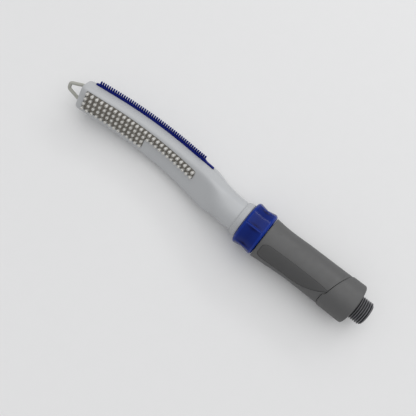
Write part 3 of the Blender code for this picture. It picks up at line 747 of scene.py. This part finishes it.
def make_flow_ring():
    """The ring, with a painted highlight brightest on the pads' frames and painted shade darkest
    just inside them.
    """
    bead = [RING_HALF_LENGTH - RING_BEAD * (1 - math.sin(math.pi / 2 * i / 10))
            for i in range(10, 0, -1)]
    half = bead + stations(RING_HALF_LENGTH - RING_BEAD, 0.0, 0.3)
    across = [RING_MIDDLE + x for x in half + [-x for x in half[-2::-1]]]

    def outline_at(angle):
        outline = [(across[-1], RING_BORE), (across[0], RING_BORE)]
        return outline + [(x, ring_surface(x, angle)) for x in across]

    def light_and_shade_at(point):
        inward = inside_pad(point.x, math.atan2(point.z, point.y))[0]
        # painted highlight on the frames, painted shade in the corners just inside them
        highlight_share = 1 - smooth_step(inward, -0.7, 0.1)
        corner = smooth_step(inward, 0.0, 0.3) * (1 - smooth_step(inward, 0.4, 3.2))
        return 0.45 + 0.55 * highlight_share - 0.45 * corner

    mesh = mesh_from("flow_ring", lathe(outline_at, steps=360, start=GROOVE_ANGLE))
    paint(mesh, light_and_shade_at)
    dress(place("flow_ring", mesh), ring_blue, "flow_ring", body="dial", sharp=60.0)


def make_neck_collar():
    """The collar steps down in fine stages from the ring to the neck."""
    outline = rounded((
        (-15.66, COLLAR_BORE), (-9.5, COLLAR_BORE), (-9.5, 15.5, 0.5), (-12.3, 15.5, 0.3),
        (-12.5, 15.2, 0.15), (-13.3, 15.2, 0.15), (-13.5, 14.8, 0.15), (-14.6, 14.7, 0.15),
        (-14.8, 14.3, 0.15), (-15.1, 14.2, 0.15), (-15.3, 13.8, 0.15), (-15.68, 13.7, 0.05)),
        0.1)
    dress(solid("neck_collar", lathe(lambda angle: outline)), shell_grey, "neck_collar")


# ---- handle --------------------------------------------------------------------------
def barrel_radius(x, angle):
    """Waisted outside of the handle, with a belly on one side behind the flow ring."""
    waist_x, waist, front, back = 42.0, 17.1, 18.6, 17.4
    belly = BELLY_SHIFT * (1 - smooth_step(x, *BELLY_FADE)) * math.cos(angle - BELLY_ANGLE)
    if x < waist_x:
        flare = (front - waist) * ((waist_x - x) / (waist_x - HANDLE_START)) ** 2
    else:
        flare = (back - waist) * ((x - waist_x) / (HANDLE_END - waist_x)) ** 2.2
    return waist + flare + belly


def cap_seam_x(angle):
    """Where the oblique seam crosses the surface; it jogs towards the ring past the inlay."""
    jog = smooth_step(angle, *CAP_JOG_STARTS) * smooth_step(angle, *CAP_JOG_ENDS)
    return CAP_SEAM_X - CAP_SEAM_SLOPE * CAP_RADIUS * math.sin(angle) - CAP_JOG * jog


def make_barrel():
    """The barrel runs up to the oblique seam, where its edge turns into a fine groove."""
    def outline_at(angle):
        end = cap_seam_x(angle) - CAP_GROOVE / 2
        front = barrel_radius(HANDLE_START, angle)
        bend_radius = BARREL_FRONT_ROUND
        outline = [(HANDLE_START, BARREL_BORE), (HANDLE_START, front - bend_radius)]
        for k in range(1, 5):
            bend = math.pi / 2 * k / 4
            outline.append((HANDLE_START + bend_radius * (1 - math.cos(bend)),
                            front - bend_radius * (1 - math.sin(bend))))
        for k in range(45):
            x = HANDLE_START + 2.0 + (end - HANDLE_START - 2.6) * k / 44
            outline.append((x, barrel_radius(x, angle)))
        rim = barrel_radius(end, angle)
        return outline + [
            (end - 0.3, rim - 0.03), (end - 0.1, rim - 0.12), (end, rim - 0.35),
            (end, rim - 1.6), (end - 1.0, rim - BARREL_WALL), (HANDLE_START + 2.4, BARREL_BORE)]

    barrel = solid("handle_barrel", lathe(outline_at, steps=192))
    pocket = bmesh.new()
    inlay_block(pocket, grow=0.2, levels=((0.0, -0.75), (0.0, 2.0)))
    cut(barrel, pocket)
    dress(barrel, handle_grey, "handle_barrel", sharp=38.0)


def inlay_edges(x, grow):
    """Comb-side and far edges of the thumb inlay at x: a blunt nose that tapers to a point."""
    front, back = INLAY_SPAN[0] - grow, INLAY_SPAN[1] + grow
    half = INLAY_HALF_WIDTH
    t = max((x - front) / (back - front), 0.0)
    nose = min(t / INLAY_NOSE_SHARE, 1.0)
    rounding = INLAY_NOSE_BLUNT + (1 - INLAY_NOSE_BLUNT) * math.sqrt(nose * (2 - nose))
    rise = max(t - INLAY_TAPER_FROM, 0.0) / (1 - INLAY_TAPER_FROM)
    comb_edge = half * rounding - 0.9 * rise ** 6 + grow
    far_edge = -half * rounding + (2 * half - 1.6) * rise ** 1.7 - grow
    return comb_edge, far_edge


def inlay_block(bm, grow, levels, columns=30):
    """A closed patch over the thumb inlay; each level is (pulled in, height over the skin)."""
    front, back = INLAY_SPAN[0] - grow, INLAY_SPAN[1] + grow
    share = [0.0, 0.0015, 0.005, 0.01, 0.02, 0.035, 0.05, 0.075, 0.1]
    share += [0.1 + 0.9 * i / 50 for i in range(1, 51)]
    sheets = []
    for pull, lift in levels:
        sheet = []
        for t in share:
            x = front + (back - front) * t
            comb_edge, far_edge = inlay_edges(x, grow)
            middle = (comb_edge + far_edge) / 2
            half = max((comb_edge - far_edge) / 2 - pull, 0.05)
            x = min(max(x, front + pull), back - pull)
            row = []
            for k in range(columns + 1):
                y = middle - half * math.cos(math.pi * k / columns)
                radius = barrel_radius(x, math.pi / 2) + lift
                radius = barrel_radius(x, math.acos(y / radius)) + lift
                row.append(Vector((x, y, math.sqrt(radius ** 2 - y ** 2))))
            sheet.append(row)
        sheets.append(sheet)
    skin(bm, sheets[0], around=False)
    skin(bm, sheets[-1], around=False)
    rims = []
    for sheet in sheets:
        rim = sheet[0] + [row[-1] for row in sheet[1:-1]]
        rim += sheet[-1][::-1] + [row[0] for row in sheet[-2:0:-1]]
        rims.append(rim)
    skin(bm, rims)


def make_inlay():
    bm = bmesh.new()
    inlay_block(bm, grow=0.0, levels=((0.0, -0.72), (0.0, -0.2), (0.08, -0.06), (0.25, 0.02),
                                      (0.5, 0.05)))
    dress(solid("thumb_grip_inlay", bm), inlay_grey, "thumb_grip_inlay", sharp=50.0)


def make_end_cap():
    """The cap starts at the oblique seam and closes round the hose inlet."""
    skin_radius = CAP_RADIUS - 0.25

    def outline_at(angle):
        start = cap_seam_x(angle) + CAP_GROOVE / 2
        outline = [(start, skin_radius - 2.0), (start, skin_radius - 0.4),
                   (start + 0.12, skin_radius - 0.14), (start + 0.35, skin_radius - 0.02)]
        body = [start + (HANDLE_END - 1.6 - start) * k / 14 for k in range(1, 15)]
        outline += [(x, CAP_RADIUS - CAP_TAPER * (HANDLE_END - x)) for x in body]
        for k in range(1, 7):
            bend = math.pi / 2 * k / 6
            outline.append((HANDLE_END - CAP_END_ROUND * (1 - math.sin(bend)),
                            CAP_RADIUS - CAP_END_ROUND * (1 - math.cos(bend))))
        return outline + [
            (HANDLE_END, CAP_BORE + 0.5), (HANDLE_END - 0.2, CAP_BORE + 0.15),
            (HANDLE_END - 0.6, CAP_BORE), (HANDLE_END - 2.6, CAP_BORE), (HANDLE_END - 2.6, 15.3)]

    dress(solid("handle_end_cap", lathe(outline_at, steps=192)), handle_grey, "handle_end_cap",
          sharp=38.0)


# ---- hose inlet ----------------------------------------------------------------------
def thread_radius(x, angle):
    """A right-hand helix of rounded ridges that runs out at both ends."""
    phase = (x - THREAD_START) / THREAD_PITCH - angle / math.tau
    ridge = (0.5 - 0.5 * math.cos(math.tau * phase)) ** 1.5
    ridge *= smooth_step(x, THREAD_START - 0.6, THREAD_START + 0.5)
    ridge *= smooth_step(x, INLET_END - 0.35, INLET_END - 1.1)
    return THREAD_ROOT_RADIUS + (THREAD_MAJOR_RADIUS - THREAD_ROOT_RADIUS) * ridge


def make_inlet():
    """The threaded nipple, with the screen's seat in its mouth; the thread's crests carry a
    painted highlight and its roots painted shade.
    """
    threaded = stations(THREAD_START - 0.6, INLET_END - 0.3, 0.14)

    def outline_at(angle):
        outline = [(93.0, 6.8), (93.0, 9.6), (95.9, 9.6), (95.9, FLANGE_RADIUS),
                   (THREAD_START - 0.9, FLANGE_RADIUS)]
        outline += [(x, thread_radius(x, angle)) for x in threaded]
        return outline + [
            (INLET_END - 0.1, THREAD_ROOT_RADIUS - 0.08), (INLET_END, THREAD_ROOT_RADIUS - 0.22),
            (INLET_END, INLET_BORE + 0.15), (INLET_END - 0.15, INLET_BORE),
            (SCREEN_X - 0.7, INLET_BORE), (SCREEN_X - 0.7, 6.8)]

    # painted highlight towards the crests, painted shade towards the roots
    def light_and_shade_at(point):
        radius = math.hypot(point.y, point.z)
        return smooth_step(radius, THREAD_ROOT_RADIUS + 0.4, THREAD_MAJOR_RADIUS - 0.15)

    mesh = mesh_from("inlet_connector", lathe(outline_at, steps=160))
    paint(mesh, light_and_shade_at)
    dress(place("inlet_connector", mesh), thread_grey, "inlet_connector", sharp=55.0)


def make_washer():
    outline = rounded(((109.7, 6.2), (111.5, 6.2), (111.5, 8.4), (109.7, 8.4)), 0.35)
    bm = lathe(lambda angle: outline, steps=96)
    dress(solid("inlet_washer", bm), black_rubber, "inlet_washer")


def make_screen():
    """Woven steel gauze in a thin rim."""
    rim = rounded(((SCREEN_X - 0.4, 7.7), (SCREEN_X + 0.4, 7.7), (SCREEN_X + 0.4, 8.4),
                   (SCREEN_X - 0.4, 8.4)), 0.15)
    bm = lathe(lambda angle: rim, steps=96)
    pitch, wire, reach = 0.85, 0.16, 7.9
    rows = int(reach / pitch)
    for weft in (False, True):
        for row in range(-rows, rows + 1):
            offset = row * pitch
            length = math.sqrt(reach ** 2 - offset ** 2)
            rings = []
            for s in stations(-length, length, pitch / 3):
                over = 1 if (row % 2) != weft else -1
                x = SCREEN_X + over * wire * math.cos(math.pi * s / pitch)
                ring = []
                for k in range(6):
                    a = math.tau * k / 6
                    dx, side = wire * math.cos(a), offset + wire * math.sin(a)
                    ring.append(Vector((x + dx, side, s) if weft else (x + dx, s, side)))
                rings.append(ring)
            skin(bm, rings, caps=True)
    dress(solid("filter_screen", bm), steel, "filter_screen")


# ---- inner pieces that keep their CAD shape ------------------------------------------
def finish_inner_pieces():
    """Give the hidden CAD pieces their materials; their shapes stay as they are."""
    finishes = {
        inner_white: ("channel_tray", "nozzle_plate", "valve_body", "valve_rotor", "valve_seat",
                      "water_tube"),
        black_rubber: ("plate_gasket", "head_o_ring", "rotor_o_ring", "seat_gasket", "tube_o_ring",
                       "inlet_o_ring"),
        steel: ("drive_pin", "ring_retainer"),
    }
    for finish, names in finishes.items():
        for name in names:
            node = frame["nodes"][name]
            for slot in node.material_slots:
                slot.material = finish


# ---- floor, light and camera ---------------------------------------------------------
def make_floor():
    mesh = bpy.data.meshes.new("floor")
    reach = FLOOR_REACH
    corners = [(-reach, -reach, 0), (reach, -reach, 0), (reach, reach, 0), (-reach, reach, 0)]
    mesh.from_pydata(corners, [], [(0, 1, 2, 3)])
    floor = bpy.data.objects.new("floor", mesh)
    bpy.context.scene.collection.objects.link(floor)
    mesh.materials.append(moulded("pale_table", (0.74, 0.74, 0.74), 0.75, grain=3.0, depth=0.01,
                                  mottle=0.008))


def add_light(light, location, direction):
    lamp = bpy.data.objects.new(light.name, light)
    lamp.location = location
    lamp.rotation_euler = direction.to_track_quat("-Z", "Y").to_euler()
    bpy.context.scene.collection.objects.link(lamp)


def make_light():
    """An even dome, one broad overhead light and a faint strip beyond the comb side."""
    world = bpy.data.worlds.new("studio")
    world.use_nodes = True
    background = world.node_tree.nodes["Background"]
    background.inputs["Color"].default_value = SKY_COLOUR
    background.inputs["Strength"].default_value = SKY_STRENGTH
    bpy.context.scene.world = world
    softbox = bpy.data.lights.new("overhead_softbox", "SUN")
    softbox.energy = SOFTBOX_STRENGTH
    softbox.angle = SOFTBOX_ANGLE
    add_light(softbox, (0.0, 0.0, 0.0), SOFTBOX_DIRECTION)
    strip = bpy.data.lights.new("side_strip", "AREA")
    strip.shape = "RECTANGLE"
    strip.size, strip.size_y = STRIP_SIZE
    strip.energy = STRIP_POWER
    add_light(strip, STRIP_AT, -STRIP_AT)


def make_camera():
    data = bpy.data.cameras.new("camera")
    data.lens = CAMERA_LENS
    data.sensor_width = 36.0
    data.clip_start = 0.01
    camera = bpy.data.objects.new("camera", data)
    camera.matrix_world = WAND @ Matrix.Translation(CAMERA_AT) @ CAMERA_TURN.to_matrix().to_4x4()
    bpy.context.scene.collection.objects.link(camera)
    bpy.context.scene.camera = camera


make_front_shell()
make_back_shell()
make_mat()
make_nubs()
make_comb()
make_hanging_loop()
make_flow_ring()
make_neck_collar()
make_barrel()
make_inlay()
make_end_cap()
make_inlet()
make_washer()
make_screen()
finish_inner_pieces()
make_floor()
make_light()
make_camera()
bpy.context.scene.view_settings.view_transform = "Standard"

bpy.context.view_layer.update()
